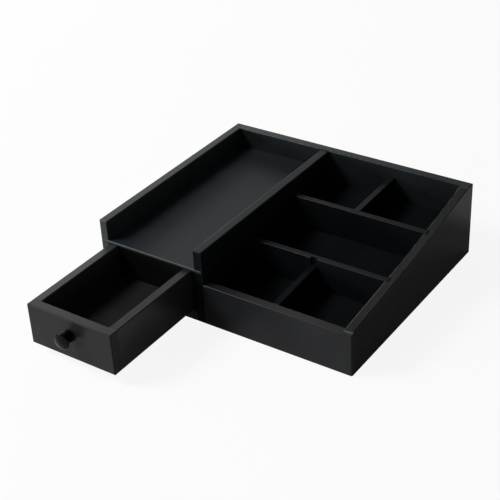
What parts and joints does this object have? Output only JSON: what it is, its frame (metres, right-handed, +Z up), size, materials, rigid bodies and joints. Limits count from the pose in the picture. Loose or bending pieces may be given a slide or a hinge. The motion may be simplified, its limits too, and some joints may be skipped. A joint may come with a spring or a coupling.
{
  "type": "desk organizer with drawer",
  "caption": "Black painted desk organizer: an open tray over a pull-out drawer, beside divided compartments that step up to the back under a rising side wall.",
  "frame": {"origin": "middle of the cabinet's footprint, on the underside of the base board", "axes": "+Z up; +Y from the open front to the back wall; +X from the drawer side to the compartments' outer wall"},
  "size_m": [0.305, 0.4035, 0.086],
  "materials": {
    "painted_board": "satin black paint on fibreboard",
    "painted_divider": "satin black paint on thin fibreboard",
    "painted_drawer": "satin black paint on fibreboard",
    "knob_lacquer": "gloss black lacquer",
    "bare_beech": "unfinished beech",
    "zinc_steel": "zinc plated"
  },
  "bodies": {
    "cabinet": {"left_wall": "painted_board", "centre_wall": "painted_board", "right_wall": "painted_board", "back_wall": "painted_board", "front_panel": "painted_board", "base_board": "painted_board", "tray_shelf": "painted_board", "compartment_floor": "painted_board", "front_cross_divider": "painted_divider", "rear_cross_divider": "painted_divider", "front_short_divider": "painted_divider", "rear_short_divider": "painted_divider", "drawer_stop": "bare_beech", "wall_dowels": "bare_beech", "base_screws": "zinc_steel"},
    "drawer": {"drawer_front": "painted_drawer", "drawer_left_side": "painted_drawer", "drawer_right_side": "painted_drawer", "drawer_back": "painted_drawer", "drawer_bottom": "painted_drawer", "drawer_dowels": "bare_beech", "knob": "knob_lacquer", "knob_screw": "zinc_steel"}
  },
  "joints": [
    {"name": "drawer_slide", "type": "slide", "parent": "cabinet", "child": "drawer", "axis": [0, -1, 0], "range_m": [-0.1287, 0]}
  ]
}
